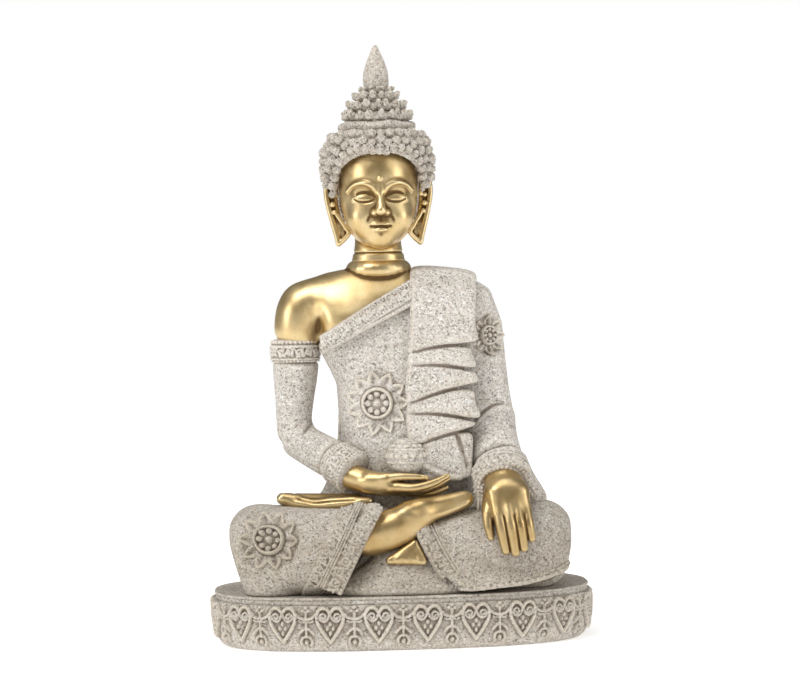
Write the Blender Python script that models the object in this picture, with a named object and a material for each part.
"""Seated Buddha figurine on a carved oval plinth: a cast stone-and-gold statue,
built as one closed body for every sculpted piece of the figure and its base."""

import math

import bmesh
import bpy
from mathutils import Matrix, Vector
from mathutils.bvhtree import BVHTree

MM = 0.001

# Plinth, millimetres. X runs across the front, -Y faces the viewer, Z is up.
PLINTH_HALF_X = 68.2
PLINTH_HALF_Y = 38.5
PLINTH_TOP = 16.5
SLAB_BOTTOM = 16.8
SLAB_TOP = 19.2
SLAB_ROUNDING = 0.9
SLAB_HALF_X = PLINTH_HALF_X - 1.0
SLAB_HALF_Y = PLINTH_HALF_Y - 1.0
OVAL_POWER = 2.6
HEART_COUNT = 20
HEART_SHIFT = 7.0
HEART_MIDDLE = 9.4
HEART_WIDTH = 10.4
HEART_HEIGHT = 13.8
HEART_RELIEF = 1.0

# Figure, millimetres
HEAD_X = -5.1
TOTAL_HEIGHT = 213.5
BALL_RADIUS = 6.6
BALL_Z = 66.2

GAP = 0.3
RING_POINTS = 18

STONE = (0.52, 0.46, 0.39)
STONE_LIGHT = (0.58, 0.52, 0.43)
GOLD = (0.62, 0.40, 0.13)

built = {}
whole_shapes = {}


def clear_scene():
    for obj in list(bpy.data.objects):
        bpy.data.objects.remove(obj, do_unlink=True)
    for mesh in list(bpy.data.meshes):
        bpy.data.meshes.remove(mesh)


def make_material(name, colour, roughness, metallic):
    material = bpy.data.materials.new(name)
    material.use_nodes = True
    shader = material.node_tree.nodes["Principled BSDF"]
    shader.inputs["Base Color"].default_value = (*colour, 1.0)
    shader.inputs["Roughness"].default_value = roughness
    shader.inputs["Metallic"].default_value = metallic
    material.diffuse_color = (*colour, 1.0)
    return material


def object_from(name, mesh_data):
    """A scene object from a bmesh given in millimetres, its faces turned outwards."""
    bmesh.ops.recalc_face_normals(mesh_data, faces=mesh_data.faces)
    bmesh.ops.scale(mesh_data, vec=(MM, MM, MM), verts=mesh_data.verts)
    mesh = bpy.data.meshes.new(name)
    mesh_data.to_mesh(mesh)
    mesh_data.free()
    obj = bpy.data.objects.new(name, mesh)
    bpy.context.scene.collection.objects.link(obj)
    return obj


def superellipse(angle, power):
    """A point of the unit superellipse at this angle."""
    c, s = math.cos(angle), math.sin(angle)
    return (
        math.copysign(abs(c) ** (2.0 / power), c),
        math.copysign(abs(s) ** (2.0 / power), s),
    )


def loft(name, stations, up=(0.0, 0.0, 1.0), power=2.0, points=RING_POINTS, dome=(0.0, 0.0)):
    """A body through cross-sections (x, y, z, half_across, half_along_up), each set
    square to the path. dome gives how far each end bulges past its last section."""
    centres = [Vector(s[:3]) for s in stations]
    halves = [(s[3], s[4]) for s in stations]
    tangents = []
    for i in range(len(centres)):
        before = centres[max(i - 1, 0)]
        after = centres[min(i + 1, len(centres) - 1)]
        tangents.append((after - before).normalized())
    for end, bulge in ((0, dome[0]), (-1, dome[1])):
        if bulge <= 0.0:
            continue
        centre, tangent, (a, b) = centres[end], tangents[end], halves[end]
        way = -tangent if end == 0 else tangent
        for lift, shrink in ((0.6, 0.8), (0.95, 0.3)):
            new = (centre + way * bulge * lift, tangent, (a * shrink, b * shrink))
            if end == 0:
                centres.insert(0, new[0])
                tangents.insert(0, new[1])
                halves.insert(0, new[2])
            else:
                centres.append(new[0])
                tangents.append(new[1])
                halves.append(new[2])
    mesh_data = bmesh.new()
    rings = []
    hint = Vector(up)
    for centre, tangent, (a, b) in zip(centres, tangents, halves):
        across = hint.cross(tangent).normalized()
        upward = tangent.cross(across).normalized()
        ring = []
        for k in range(points):
            c, s = superellipse(math.tau * k / points, power)
            ring.append(mesh_data.verts.new(centre + across * a * c + upward * b * s))
        rings.append(ring)
    for low, high in zip(rings, rings[1:]):
        for k in range(points):
            n = (k + 1) % points
            mesh_data.faces.new((low[k], low[n], high[n], high[k]))
    mesh_data.faces.new(list(reversed(rings[0])))
    mesh_data.faces.new(rings[-1])
    return object_from(name, mesh_data)


def stack(name, sections, power=2.0, points=RING_POINTS):
    """A body through level ovals (z, centre_x, centre_y, half_x, half_y)."""
    mesh_data = bmesh.new()
    rings = []
    for z, cx, cy, a, b in sections:
        ring = []
        for k in range(points):
            c, s = superellipse(math.tau * k / points, power)
            ring.append(mesh_data.verts.new((cx + a * c, cy + b * s, z)))
        rings.append(ring)
    for low, high in zip(rings, rings[1:]):
        for k in range(points):
            n = (k + 1) % points
            mesh_data.faces.new((low[k], low[n], high[n], high[k]))
    mesh_data.faces.new(list(reversed(rings[0])))
    mesh_data.faces.new(rings[-1])
    return object_from(name, mesh_data)


def box(name, low, high):
    mesh_data = bmesh.new()
    bmesh.ops.create_cube(mesh_data, size=1.0)
    for vertex in mesh_data.verts:
        for i in range(3):
            vertex.co[i] = low[i] if vertex.co[i] < 0 else high[i]
    return object_from(name, mesh_data)


def turn(obj, matrix):
    obj.data.transform(matrix)
    return obj


def about(point, axis, degrees):
    """The turn about an axis through a point given in millimetres."""
    place = Matrix.Translation(Vector(point) * MM)
    return place @ Matrix.Rotation(math.radians(degrees), 4, axis) @ place.inverted()


def apply_boolean(target, tool, operation):
    modifier = target.modifiers.new("shape", "BOOLEAN")
    modifier.operation = operation
    modifier.solver = "EXACT"
    modifier.object = tool
    bpy.context.view_layer.update()
    graph = bpy.context.evaluated_depsgraph_get()
    result = bpy.data.meshes.new_from_object(target.evaluated_get(graph))
    target.modifiers.clear()
    old = target.data
    target.data = result
    bpy.data.meshes.remove(old)


def join(target, *tools):
    shapes = whole_shapes.setdefault(target.name, [target.data.copy()])
    for tool in tools:
        shapes.append(tool.data.copy())
        apply_boolean(target, tool, "UNION")
        bpy.data.objects.remove(tool, do_unlink=True)
    return target


def common(target, tool):
    apply_boolean(target, tool, "INTERSECT")
    bpy.data.objects.remove(tool, do_unlink=True)
    return target


def cut(target, tool, keep_tool=False):
    apply_boolean(target, tool, "DIFFERENCE")
    if not keep_tool:
        bpy.data.objects.remove(tool, do_unlink=True)
    return target


def swollen(mesh, by):
    """An object grown outwards from this mesh by so many millimetres."""
    twin = bpy.data.objects.new("room", mesh.copy())
    bpy.context.scene.collection.objects.link(twin)
    mesh_data = bmesh.new()
    mesh_data.from_mesh(twin.data)
    bmesh.ops.remove_doubles(mesh_data, verts=mesh_data.verts, dist=0.02 * MM)
    mesh_data.normal_update()
    moves = []
    for vertex in mesh_data.verts:
        factor = min(vertex.calc_shell_factor(), 1.6)
        moves.append(vertex.normal * by * MM * factor)
    for vertex, move in zip(mesh_data.verts, moves):
        vertex.co += move
    mesh_data.to_mesh(twin.data)
    mesh_data.free()
    return twin


def tidy_mesh(obj):
    """Welds stray points and keeps only the largest closed piece."""
    mesh_data = bmesh.new()
    mesh_data.from_mesh(obj.data)
    bmesh.ops.remove_doubles(mesh_data, verts=mesh_data.verts, dist=0.03 * MM)
    bmesh.ops.dissolve_degenerate(mesh_data, edges=mesh_data.edges, dist=0.03 * MM)
    left = set(mesh_data.faces)
    groups = []
    while left:
        frontier = [left.pop()]
        group = set(frontier)
        while frontier:
            face = frontier.pop()
            for edge in face.edges:
                for other in edge.link_faces:
                    if other in left:
                        left.discard(other)
                        group.add(other)
                        frontier.append(other)
        groups.append(group)
    groups.sort(key=lambda faces: sum(face.calc_area() for face in faces), reverse=True)
    for group in groups[1:]:
        bmesh.ops.delete(mesh_data, geom=list(group), context="FACES")
    mesh_data.to_mesh(obj.data)
    mesh_data.free()


def volume_of(mesh):
    mesh_data = bmesh.new()
    mesh_data.from_mesh(mesh)
    volume = mesh_data.calc_volume(signed=True)
    mesh_data.free()
    return volume


def tree_of(obj):
    mesh_data = bmesh.new()
    mesh_data.from_mesh(obj.data)
    tree = BVHTree.FromBMesh(mesh_data)
    mesh_data.free()
    return tree


def boxes_meet(a, b, margin):
    for i in range(3):
        a_all = [v.co[i] for v in a.data.vertices]
        b_all = [v.co[i] for v in b.data.vertices]
        if min(a_all) > max(b_all) + margin or min(b_all) > max(a_all) + margin:
            return False
    return True


def keep(obj, material):
    obj.data.materials.clear()
    obj.data.materials.append(material)
    whole_shapes.setdefault(obj.name, [obj.data.copy()])
    built[obj.name] = obj
    return obj


# ---------------------------------------------------------------- base


def plinth_point(angle, z):
    """Where the frieze wall stands at this angle and height."""
    lean = frieze_inset(z)
    c, s = superellipse(angle, OVAL_POWER)
    return Vector(((PLINTH_HALF_X - lean) * c, (PLINTH_HALF_Y - lean) * s, z))


FRIEZE_PROFILE = ((0.0, 5.4), (0.6, 4.0), (1.8, 2.8), (4.0, 1.9), (8.0, 1.3), (PLINTH_TOP, 1.0))


def frieze_inset(z):
    for (z0, r0), (z1, r1) in zip(FRIEZE_PROFILE, FRIEZE_PROFILE[1:]):
        if z <= z1:
            return r0 + (r1 - r0) * (z - z0) / (z1 - z0)
    return FRIEZE_PROFILE[-1][1]


def frieze_wall():
    sections = []
    for z, lean in FRIEZE_PROFILE:
        sections.append((z, 0.0, 0.0, PLINTH_HALF_X - lean, PLINTH_HALF_Y - lean))
    return sections


def heart_outline(count):
    """Points round a heart that stands on its tip, within the unit square."""
    points = []
    for k in range(count):
        t = math.tau * (k + 0.5) / count
        x = 16 * math.sin(t) ** 3
        y = 13 * math.cos(t) - 5 * math.cos(2 * t) - 2 * math.cos(3 * t) - math.cos(4 * t)
        points.append((x / 32.0, (y + 2.5) / 29.0))
    return points


def even_angles(count):
    """Angles that space points evenly along the frieze, one a little right of the front's middle."""
    fine = 720
    lengths = [0.0]
    for k in range(fine):
        a = plinth_point(-math.pi / 2 + math.tau * k / fine, 8.0)
        b = plinth_point(-math.pi / 2 + math.tau * (k + 1) / fine, 8.0)
        lengths.append(lengths[-1] + (b - a).length)
    found = []
    for i in range(count):
        goal = (lengths[-1] * i / count + HEART_SHIFT) % lengths[-1]
        k = next(j for j in range(fine) if lengths[j + 1] >= goal)
        part = (goal - lengths[k]) / (lengths[k + 1] - lengths[k])
        found.append(-math.pi / 2 + math.tau * (k + part) / fine)
    return found


def heart_ring(name, angle):
    """A raised heart-shaped cord standing on the frieze wall."""
    mesh_data = bmesh.new()
    outline = heart_outline(12)
    here = plinth_point(angle, HEART_MIDDLE)
    ahead = plinth_point(angle + 0.02, HEART_MIDDLE)
    along = (ahead - here).normalized()
    out = along.cross(Vector((0, 0, 1)))
    loops = []
    for scale, depth in ((1.0, -2.5), (1.0, HEART_RELIEF), (0.62, HEART_RELIEF), (0.62, -2.5)):
        loop = []
        for u, v in outline:
            z = HEART_MIDDLE + v * HEART_HEIGHT * scale
            wall = frieze_inset(HEART_MIDDLE) - frieze_inset(z)
            place = here + along * u * HEART_WIDTH * scale + out * (depth + wall * 0.9)
            loop.append(mesh_data.verts.new((place.x, place.y, z)))
        loops.append(loop)
    for i in range(4):
        first, second = loops[i], loops[(i + 1) % 4]
        for k in range(len(first)):
            n = (k + 1) % len(first)
            mesh_data.faces.new((first[k], first[n], second[n], second[k]))
    return object_from(name, mesh_data)


def make_base(stone):
    plinth = stack("plinth_frieze", frieze_wall(), power=OVAL_POWER, points=64)
    for i, angle in enumerate(even_angles(HEART_COUNT)):
        join(plinth, heart_ring(f"heart_{i}", angle))
    foot = box("foot", (-90.0, -60.0, -6.0), (90.0, 60.0, 0.0))
    cut(plinth, foot)
    keep(plinth, stone)
    slab_rows = []
    middle = (SLAB_BOTTOM + SLAB_TOP) / 2
    half = (SLAB_TOP - SLAB_BOTTOM) / 2
    for step in range(5):
        swing = -math.pi / 2 + math.pi * step / 4
        back = SLAB_ROUNDING * (1.0 - math.cos(swing))
        height = middle + half * math.sin(swing)
        slab_rows.append((height, 0.0, 0.0, SLAB_HALF_X - back, SLAB_HALF_Y - back))
    keep(stack("top_slab", slab_rows, power=OVAL_POWER, points=64), stone)


# ---------------------------------------------------------------- legs and lap


def make_legs(stone, gold, trim):
    right = loft(
        "robe_right_leg",
        (
            (-58.4, -11.0, 38.0, 10.5, 7.6),
            (-56.2, -11.6, 36.8, 14.2, 11.2),
            (-50.6, -12.4, 35.0, 18.6, 14.6),
            (-42.0, -13.0, 34.2, 21.0, 15.6),
            (-32.0, -13.5, 34.0, 21.5, 16.0),
            (-21.0, -14.0, 34.2, 21.0, 16.4),
            (-8.0, -9.0, 34.4, 17.0, 16.0),
        ),
        power=2.5,
        dome=(2.6, 0.0),
    )
    keep(right, stone)
    left = loft(
        "robe_left_leg",
        (
            (56.8, -11.0, 36.6, 10.5, 7.8),
            (54.4, -11.6, 35.6, 14.2, 11.2),
            (48.8, -12.4, 34.0, 18.8, 14.2),
            (40.0, -13.0, 33.0, 21.0, 14.8),
            (30.0, -13.5, 33.0, 21.5, 15.6),
            (20.0, -14.0, 33.4, 21.0, 15.8),
            (9.0, -9.0, 33.6, 17.0, 15.6),
        ),
        power=2.5,
        dome=(2.6, 0.0),
    )
    keep(left, stone)
    hips = stack(
        "robe_hips",
        (
            (19.6, -1.5, 6.0, 33.0, 19.0),
            (26.0, -1.5, 6.0, 36.0, 21.5),
            (36.0, -1.5, 5.5, 35.0, 21.5),
            (44.0, -1.5, 4.5, 32.0, 20.5),
            (50.5, -1.5, 3.5, 28.0, 19.0),
        ),
        power=2.3,
    )
    keep(hips, stone)
    mat = stack(
        "lap_cloth",
        (
            (19.5, 0.0, -25.0, 25.0, 10.6),
            (21.5, 0.0, -25.0, 25.4, 11.0),
            (25.0, 0.2, -24.5, 20.0, 9.6),
            (30.0, 0.6, -24.0, 13.0, 8.0),
            (36.0, 0.8, -23.5, 8.0, 6.5),
        ),
        power=2.4,
    )
    keep(mat, stone)
    keep(
        loft(
            "hem_right_leg",
            (
                (-11.5, -26.6, 48.5, 5.6, 1.6),
                (-14.5, -30.4, 43.5, 6.2, 1.7),
                (-18.0, -33.2, 36.0, 6.4, 1.7),
                (-21.5, -34.8, 28.5, 6.4, 1.7),
                (-25.0, -35.4, 21.5, 6.2, 1.6),
            ),
            up=(0.0, -1.0, 0.25),
            power=3.0,
            points=20,
        ),
        trim,
    )
    keep(
        loft(
            "hem_left_leg",
            (
                (8.5, -30.0, 41.0, 4.2, 1.6),
                (12.5, -33.0, 35.5, 4.7, 1.7),
                (17.0, -34.8, 29.5, 4.9, 1.7),
                (22.0, -35.6, 24.6, 4.6, 1.6),
                (28.0, -35.8, 22.6, 3.0, 1.5),
                (38.0, -35.2, 22.2, 1.9, 1.4),
                (48.0, -31.2, 23.4, 2.0, 1.4),
                (55.5, -23.0, 26.0, 2.2, 1.4),
            ),
            up=(0.0, -1.0, 0.25),
            power=3.0,
            points=20,
        ),
        trim,
    )
    keep(
        loft(
            "crossed_shin",
            (
                (-11.0, -30.5, 37.5, 6.6, 4.0),
                (-4.0, -31.5, 41.0, 6.4, 4.6),
                (4.0, -31.0, 45.0, 5.4, 4.8),
                (12.0, -29.5, 48.5, 4.6, 4.6),
                (19.0, -27.5, 50.3, 4.1, 4.0),
                (24.0, -25.8, 50.6, 3.0, 3.0),
            ),
            up=(0.0, -1.0, 0.0),
            power=2.2,
            dome=(1.5, 1.6),
        ),
        gold,
    )
    keep(
        loft(
            "tucked_shin",
            (
                (-6.0, -32.0, 31.2, 1.6, 2.0),
                (0.0, -33.0, 32.8, 3.0, 2.4),
                (3.6, -33.0, 33.6, 3.8, 2.4),
                (6.6, -32.6, 31.6, 2.2, 2.2),
            ),
            up=(0.0, -1.0, 0.0),
            points=16,
            dome=(1.4, 1.4),
        ),
        gold,
    )
    keep(
        loft(
            "raised_foot",
            (
                (-43.0, -13.0, 51.8, 2.6, 1.7),
                (-36.0, -15.5, 50.6, 3.8, 2.2),
                (-27.0, -18.0, 50.4, 4.6, 2.5),
                (-18.0, -20.5, 50.6, 4.4, 2.6),
                (-12.0, -22.0, 51.2, 3.2, 2.2),
            ),
            power=2.2,
            points=20,
            dome=(1.6, 1.2),
        ),
        gold,
    )


# ---------------------------------------------------------------- body


def torso_sections():
    return (
        (50.9, -1.5, 3.5, 27.0, 18.6),
        (56.0, -1.6, 2.5, 24.4, 18.0),
        (63.0, -0.6, 1.2, 22.0, 17.2),
        (72.0, 1.0, 0.6, 21.2, 16.8),
        (82.0, 1.4, 0.4, 21.4, 16.8),
        (92.0, 0.8, 0.4, 22.0, 17.0),
        (100.0, -0.6, 0.6, 24.2, 16.6),
        (108.0, -2.0, 1.0, 27.0, 15.8),
        (116.0, -2.2, 1.6, 30.0, 14.6),
        (123.0, -2.6, 2.4, 31.5, 12.8),
        (128.0, -3.2, 3.0, 29.0, 10.6),
        (131.2, -4.2, 3.2, 22.0, 8.6),
        (133.0, -5.0, 3.0, 13.0, 7.6),
    )


NECKLINE_LOW = Vector((-25.5, 0.0, 108.0))
NECKLINE_HIGH = Vector((6.0, 0.0, 122.8))


def neckline_block(name, shift):
    """Everything above the slanting neckline, moved this far square to it."""
    run = NECKLINE_HIGH - NECKLINE_LOW
    slope = math.degrees(math.atan2(run.z, run.x))
    block = box(name, (-80.0, -60.0, 108.0 + shift), (80.0, 60.0, 190.0))
    return turn(block, about(NECKLINE_LOW, "Y", -slope))


def make_torso(stone, gold, trim):
    robe = stack("robe_torso", torso_sections(), power=2.3, points=22)
    cut(robe, neckline_block("above", -GAP / 2))
    keep(robe, stone)
    bare = stack("bare_shoulder", torso_sections(), power=2.3, points=22)
    common(bare, neckline_block("above", GAP / 2))
    arm = loft(
        "bare_arm",
        (
            (-22.0, 2.6, 124.5, 7.0, 7.6),
            (-29.8, 3.2, 122.0, 8.2, 8.4),
            (-34.6, 4.0, 116.4, 8.2, 8.4),
            (-36.0, 4.6, 108.6, 7.5, 8.2),
        ),
        up=(0.3, 1.0, 0.0),
        points=20,
    )
    join(bare, arm)
    keep(bare, gold)
    border = []
    for i in range(9):
        share = i / 8.0
        x = -26.5 + 33.5 * share
        z = 107.4 + 15.7 * share
        y = -12.6 - 3.4 * math.sin(math.pi * min(share * 1.15, 1.0)) ** 0.8 + 1.6 * share
        border.append((x, y, z, 2.4, 1.3))
    keep(
        loft("neckline_border", border, up=(0.0, -1.0, 0.2), power=3.0, points=16),
        trim,
    )
    side = (
        (-20.6, 7.0, 98.0, 1.2, 3.0),
        (-19.4, 7.4, 90.0, 1.2, 3.0),
        (-19.0, 7.6, 82.0, 1.2, 3.0),
        (-19.4, 7.8, 74.0, 1.2, 3.0),
        (-20.2, 8.2, 66.0, 1.2, 3.0),
    )
    keep(loft("robe_side_hem", side, up=(0.0, 1.0, 0.0), power=3.0, points=14), trim)


def make_shawl(stone):
    front = loft(
        "shawl_front",
        (
            (17.6, 1.0, 130.8, 11.9, 2.4),
            (17.2, -6.0, 129.6, 11.8, 2.5),
            (16.6, -11.6, 124.0, 11.6, 2.5),
            (16.0, -15.2, 114.0, 11.4, 2.6),
            (14.6, -17.6, 102.0, 11.0, 2.8),
            (14.4, -18.6, 90.0, 12.2, 3.0),
            (14.0, -19.0, 78.0, 11.8, 3.0),
            (14.6, -19.6, 68.0, 10.6, 2.8),
            (15.8, -20.0, 58.0, 8.8, 2.4),
        ),
        up=(0.0, -1.0, 0.35),
        power=2.8,
        points=20,
    )
    keep(front, stone)
    back = loft(
        "shawl_back",
        (
            (17.6, 1.4, 130.8, 11.9, 2.4),
            (17.0, 9.0, 129.0, 11.8, 2.4),
            (16.0, 14.0, 122.0, 11.6, 2.3),
            (14.6, 17.4, 108.0, 11.6, 2.2),
            (13.4, 18.6, 92.0, 11.8, 2.2),
            (12.6, 19.2, 76.0, 12.0, 2.2),
            (12.0, 20.6, 62.0, 12.2, 2.2),
        ),
        up=(0.0, 1.0, 0.35),
        power=2.8,
        points=20,
    )
    keep(back, stone)


# ---------------------------------------------------------------- arms


def make_right_arm(stone, gold, trim):
    keep(
        stack(
            "armband_right",
            (
                (100.4, -36.2, 5.2, 8.1, 8.8),
                (101.2, -36.2, 5.2, 8.5, 9.2),
                (104.4, -36.1, 5.0, 8.6, 9.3),
                (107.6, -36.0, 4.8, 8.4, 9.0),
                (108.3, -36.0, 4.8, 8.0, 8.6),
            ),
            points=20,
        ),
        trim,
    )
    keep(
        loft(
            "sleeve_right_upper",
            (
                (-36.1, 5.4, 100.1, 8.0, 8.8),
                (-36.4, 5.8, 94.0, 7.5, 8.5),
                (-36.8, 6.2, 87.0, 6.6, 8.0),
                (-37.2, 6.2, 80.0, 6.0, 7.2),
                (-37.0, 5.4, 74.0, 5.9, 6.8),
            ),
            up=(0.0, 1.0, 0.0),
            points=20,
            dome=(0.0, 4.0),
        ),
        stone,
    )
    keep(
        loft(
            "sleeve_right_lower",
            (
                (-36.0, 2.6, 72.2, 6.6, 6.0),
                (-31.5, -2.5, 69.6, 6.8, 6.2),
                (-27.0, -7.4, 67.2, 7.0, 6.4),
                (-23.8, -10.6, 65.6, 7.2, 6.6),
            ),
            points=20,
            dome=(2.0, 0.0),
        ),
        stone,
    )
    keep(
        loft(
            "cuff_right",
            (
                (-23.4, -11.0, 65.4, 7.5, 6.9),
                (-19.6, -14.6, 63.0, 7.9, 7.2),
                (-16.6, -17.2, 61.0, 8.0, 7.4),
            ),
            points=22,
        ),
        trim,
    )
    palm = loft(
        "hand_right",
        (
            (-15.6, -18.2, 59.4, 5.0, 3.8),
            (-11.0, -20.0, 57.2, 5.6, 3.6),
            (-5.0, -21.4, 55.6, 6.6, 3.2),
            (1.0, -22.0, 55.2, 6.8, 3.0),
            (6.0, -22.0, 55.6, 6.2, 2.8),
        ),
        points=20,
        dome=(0.0, 1.6),
    )
    for i in range(4):
        y = -26.4 + 2.9 * i
        reach = (15.0, 16.6, 16.4, 14.6)[i]
        lift = 0.4 * i
        finger = loft(
            f"finger_{i}",
            (
                (3.0, y, 55.4 + lift, 1.5, 1.7),
                (8.0, y, 56.0 + lift, 1.5, 1.7),
                (reach - 2.0, y, 57.0 + lift, 1.3, 1.5),
            ),
            points=8,
            dome=(0.0, 1.8),
        )
        join(palm, finger)
    thumb = loft(
        "thumb",
        ((-8.0, -21.5, 58.6, 2.2, 2.2), (-1.0, -24.0, 59.6, 2.0, 2.0), (5.5, -25.0, 60.0, 1.6, 1.5)),
        points=8,
        dome=(0.0, 1.8),
    )
    join(palm, thumb)
    keep(palm, gold)
    rows = []
    for step in range(9):
        swing = -1.2 + 2.75 * step / 8
        across = BALL_RADIUS * math.cos(swing) + 0.05
        rows.append((BALL_Z + BALL_RADIUS * math.sin(swing), 1.8, -20.0, across, across))
    keep(stack("alms_bowl", rows, points=22), trim)


def make_left_arm(stone, gold, trim):
    upper = loft(
        "sleeve_left_upper",
        (
            (20.6, 2.8, 126.4, 6.0, 8.2),
            (26.4, 3.0, 120.4, 8.9, 10.0),
            (28.8, 3.2, 111.5, 9.6, 10.6),
            (29.4, 3.1, 100.0, 9.8, 10.6),
            (30.4, 2.6, 88.0, 10.0, 10.6),
            (31.4, 1.4, 78.5, 10.4, 10.2),
        ),
        up=(0.0, 1.0, 0.0),
        power=2.2,
        dome=(0.0, 4.0),
    )
    keep(upper, stone)
    lower = loft(
        "sleeve_left_lower",
        (
            (31.8, -1.0, 76.0, 10.2, 9.6),
            (32.8, -8.0, 69.8, 9.4, 9.0),
            (34.4, -15.0, 64.0, 8.8, 8.2),
        ),
        up=(0.0, 1.0, 0.0),
        power=2.2,
        dome=(2.0, 0.0),
    )
    keep(lower, stone)
    cuff = loft(
        "cuff_left",
        ((34.9, -15.8, 63.2, 9.2, 8.2), (35.7, -19.4, 60.0, 9.6, 8.2), (36.2, -22.4, 57.4, 9.8, 8.0)),
        up=(0.0, 1.0, 0.0),
        power=2.2,
    )
    drape = loft(
        "drape",
        ((39.4, -13.5, 61.0, 4.0, 3.4), (44.4, -14.4, 53.8, 4.0, 3.2), (48.2, -15.0, 49.4, 3.4, 2.6)),
        up=(0.0, 1.0, 0.0),
        points=12,
    )
    join(cuff, drape)
    keep(cuff, trim)
    hand = loft(
        "hand_left",
        (
            (36.2, -22.8, 57.2, 5.6, 3.4),
            (36.6, -28.0, 53.4, 6.2, 3.2),
            (37.4, -33.2, 48.6, 6.8, 3.0),
            (38.2, -35.4, 43.6, 6.8, 2.6),
        ),
        up=(0.0, -1.0, 0.5),
        points=20,
        dome=(0.0, 1.4),
    )
    tips = ((34.4, 33.6), (37.8, 32.0), (41.0, 33.4), (44.2, 36.6))
    for i, (x, z) in enumerate(tips):
        root_x = 33.2 + 3.4 * i
        finger = loft(
            f"finger_{i}",
            (
                (root_x, -34.8, 46.0, 1.7, 1.7),
                (root_x, -36.2, 41.0, 1.7, 1.7),
                (x + 0.4, -36.7, z + 2.0, 1.5, 1.5),
            ),
            up=(0.0, -1.0, 0.0),
            points=8,
            dome=(0.0, 1.8),
        )
        join(hand, finger)
    thumb = loft(
        "thumb",
        ((31.6, -29.5, 51.0, 2.2, 2.4), (29.8, -33.2, 46.0, 2.0, 2.2), (30.2, -35.6, 39.6, 1.7, 1.7)),
        up=(0.0, -1.0, 0.0),
        points=8,
        dome=(0.0, 1.6),
    )
    join(hand, thumb)
    keep(hand, gold)


# ---------------------------------------------------------------- head


def make_head(stone, gold):
    rings = []
    profile = (
        (133.3, 10.8, 9.2), (134.8, 10.1, 8.8), (136.2, 9.2, 8.3), (138.2, 8.7, 8.0), (141.8, 8.1, 7.7),
        (146.0, 8.0, 7.6),
    )
    for z, a, b in profile:
        rings.append((z, HEAD_X - 0.4, 2.4, a, b))
    keep(stack("neck", rings, points=20), gold)
    head = stack(
        "head",
        (
            (140.2, HEAD_X, -8.6, 3.6, 2.6),
            (141.4, HEAD_X, -7.4, 6.6, 5.2),
            (144.4, HEAD_X, -5.2, 9.6, 9.0),
            (149.0, HEAD_X, -3.0, 12.0, 12.0),
            (155.0, HEAD_X, -1.6, 13.5, 14.0),
            (162.0, HEAD_X, -1.0, 14.0, 15.0),
            (170.0, HEAD_X, -0.8, 14.0, 15.2),
            (178.0, HEAD_X, -0.6, 12.0, 13.2),
            (182.0, HEAD_X, -0.4, 7.6, 8.4),
            (183.0, HEAD_X, -0.4, 3.0, 3.4),
        ),
        points=20,
    )
    nose = loft(
        "nose",
        (
            (HEAD_X, -14.6, 163.0, 0.9, 0.9),
            (HEAD_X, -16.6, 158.0, 1.3, 1.5),
            (HEAD_X, -18.0, 154.6, 2.5, 1.7),
        ),
        up=(0.0, -1.0, 0.0),
        points=8,
        dome=(0.6, 1.0),
    )
    join(head, nose)
    keep(head, gold)
    cap = stack(
        "hair_cap",
        (
            (150.0, HEAD_X, 7.6, 12.0, 8.6),
            (154.0, HEAD_X, 6.4, 17.0, 12.0),
            (160.0, HEAD_X, 4.2, 19.6, 15.6),
            (166.0, HEAD_X, 2.2, 20.4, 18.0),
            (172.0, HEAD_X, 0.6, 20.6, 19.2),
            (176.6, HEAD_X, -0.2, 19.7, 18.8),
            (180.0, HEAD_X, -0.4, 18.2, 17.4),
            (182.6, HEAD_X, -0.4, 15.4, 14.8),
            (184.6, HEAD_X, -0.4, 12.2, 12.0),
            (185.9, HEAD_X, -0.4, 10.0, 10.0),
        ),
        points=20,
    )
    face_room = loft(
        "face_room",
        ((HEAD_X, -6.0, 157.0, 15.2, 15.8), (HEAD_X, -40.0, 157.0, 15.6, 15.8)),
        power=2.6,
        points=20,
    )
    cut(cap, face_room)
    keep(cap, stone)
    rows = []
    tiers = ((186.2, 13.2, 2.4), (188.9, 10.9, 2.2), (191.4, 8.5, 2.1), (193.8, 5.9, 1.9))
    for z, radius, height in tiers:
        rows.append((z, HEAD_X, -0.4, radius - 0.8, radius - 0.8))
        rows.append((z + height * 0.5, HEAD_X, -0.4, radius, radius))
        rows.append((z + height, HEAD_X, -0.4, radius - 0.9, radius - 0.9))
    keep(stack("topknot", rows, points=20), stone)
    bud = (
        (196.2, 3.6), (198.0, 4.3), (200.6, 4.5), (203.6, 4.2), (206.6, 3.3), (209.6, 2.1), (212.0, 1.1),
        (TOTAL_HEIGHT, 0.4),
    )
    keep(stack("finial", [(z, HEAD_X, -0.4, r, r) for z, r in bud], points=14), stone)
    for side, name in ((-1, "ear_right"), (1, "ear_left")):
        ear = loft(
            name,
            (
                (HEAD_X + side * 16.6, 3.4, 164.0, 1.8, 2.4),
                (HEAD_X + side * 17.0, 3.2, 160.0, 1.9, 3.6),
                (HEAD_X + side * 16.4, 2.6, 154.0, 1.7, 3.2),
                (HEAD_X + side * 15.2, 1.6, 148.0, 1.7, 2.6),
                (HEAD_X + side * 14.4, 1.2, 143.2, 1.6, 2.3),
            ),
            up=(0.0, 1.0, 0.0),
            points=16,
            dome=(1.6, 1.8),
        )
        keep(ear, gold)


# ---------------------------------------------------------------- ornaments


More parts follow.
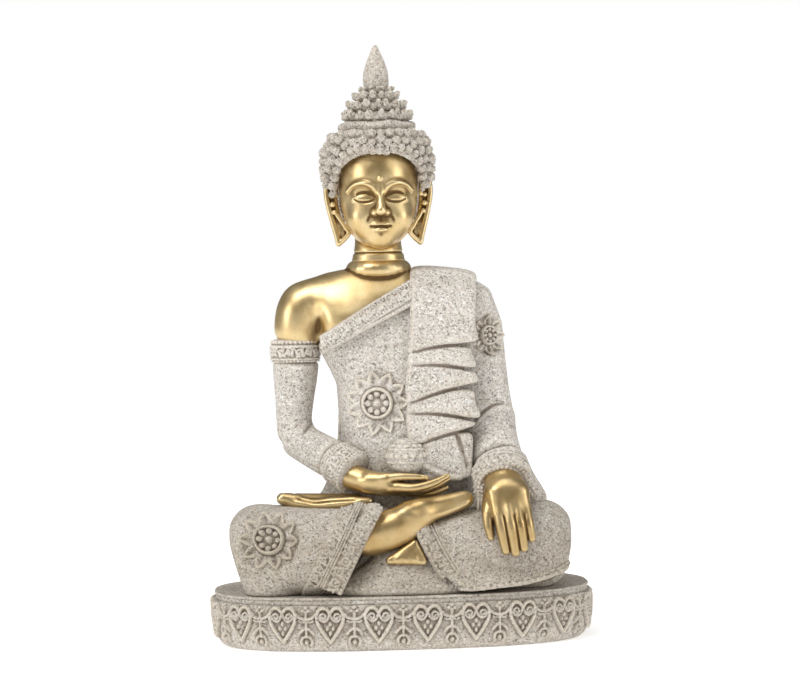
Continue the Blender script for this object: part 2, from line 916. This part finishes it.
def rosette(name, centre, facing, radius, petals, depth):
    """A flower medallion: pointed petals round a raised middle, facing outwards."""
    mesh_data = bmesh.new()
    out = Vector(facing).normalized()
    back = Vector(centre) - out * (depth + 1.2)
    front = Vector(centre) + out * 4.0
    plain = loft(name + "_seat", ((*back, radius, radius), (*front, radius, radius)))
    whole_shapes[name] = [plain.data.copy()]
    bpy.data.objects.remove(plain, do_unlink=True)
    across = Vector((0, 0, 1)).cross(out).normalized()
    upward = out.cross(across)
    middle = Vector(centre)
    per_petal = (1.0, 0.8, 0.62, 0.8)
    count = petals * len(per_petal)
    layers = (
        (-depth, 0.5, False),
        (-depth, 0.6, False),
        (0.9, 0.95, True),
        (1.5, 0.5, False),
        (1.0, 0.43, False),
        (2.1, 0.3, False),
    )
    rings = []
    for lift, size, petalled in layers:
        ring = []
        for k in range(count):
            angle = math.tau * k / count
            r = radius * size * (per_petal[k % len(per_petal)] if petalled else 1.0)
            place = middle + across * r * math.cos(angle) + upward * r * math.sin(angle)
            ring.append(mesh_data.verts.new(place + out * lift))
        rings.append(ring)
    for low, high in zip(rings, rings[1:]):
        for k in range(count):
            n = (k + 1) % count
            mesh_data.faces.new((low[k], low[n], high[n], high[k]))
    for ring, lift in ((rings[0], -depth), (rings[-1], layers[-1][0])):
        hub = mesh_data.verts.new(middle + out * lift)
        for k in range(count):
            mesh_data.faces.new((ring[k], ring[(k + 1) % count], hub))
    return object_from(name, mesh_data)


def make_flowers(trim):
    keep(rosette("flower_chest", (-8.2, -16.2, 85.4), (-0.12, -1.0, 0.0), 11.6, 11, 1.2), trim)
    keep(rosette("flower_knee", (-47.4, -29.6, 39.4), (-0.42, -1.0, 0.30), 10.8, 10, 1.4), trim)
    keep(rosette("flower_shoulder", (33.6, -5.8, 108.4), (0.55, -1.0, 0.05), 7.4, 8, 1.2), trim)


# Pieces in the order that decides who keeps their shape where two would meet:
# an earlier piece stays whole, and a later one is cut back round it.
ORDER = (
    "plinth_frieze", "top_slab", "finial", "topknot", "ear_right", "ear_left", "head", "hair_cap", "neck",
    "hand_left", "hand_right", "alms_bowl", "cuff_right", "cuff_left", "armband_right", "flower_chest",
    "flower_knee", "flower_shoulder", "neckline_border", "shawl_front", "shawl_back", "bare_shoulder",
    "sleeve_right_lower", "sleeve_right_upper", "sleeve_left_lower", "sleeve_left_upper", "raised_foot",
    "crossed_shin", "tucked_shin", "hem_right_leg", "hem_left_leg", "lap_cloth", "robe_side_hem",
    "robe_torso", "robe_right_leg", "robe_left_leg", "robe_hips",
)


def make_room(low, shape):
    """Cuts a piece back from this shape. A cut that loses more than the shape could
    take is tried again with a hair more clearance."""
    for extra in (0.0, 0.03, 0.06, 0.09):
        room = swollen(shape, GAP + extra)
        if not tree_of(room).overlap(tree_of(low)):
            bpy.data.objects.remove(room, do_unlink=True)
            return
        before = low.data.copy()
        least = volume_of(before) - abs(volume_of(room.data))
        cut(low, room)
        tidy_mesh(low)
        if volume_of(low.data) > 0.98 * least and volume_of(low.data) > 0.4 * volume_of(before):
            return
        low.data = before
    raise ValueError(f"{low.name} can't be cut back cleanly")


def separate_pieces():
    for i, low_name in enumerate(ORDER):
        low = built[low_name]
        for high_name in ORDER[:i]:
            high = built[high_name]
            if not boxes_meet(low, high, GAP * MM):
                continue
            for shape in whole_shapes[high_name]:
                make_room(low, shape)


def smooth(obj):
    for polygon in obj.data.polygons:
        polygon.use_smooth = True
    obj.data.set_sharp_from_angle(angle=math.radians(38))


def main():
    clear_scene()
    stone = make_material("cast_stone", STONE, 0.82, 0.0)
    gold = make_material("gold_paint", GOLD, 0.34, 0.85)
    trim = make_material("pale_trim", STONE_LIGHT, 0.78, 0.0)
    make_base(stone)
    make_legs(stone, gold, trim)
    make_torso(stone, gold, trim)
    make_shawl(stone)
    make_right_arm(stone, gold, trim)
    make_left_arm(stone, gold, trim)
    make_head(stone, gold)
    make_flowers(trim)
    separate_pieces()
    for obj in built.values():
        tidy_mesh(obj)
        smooth(obj)


main()
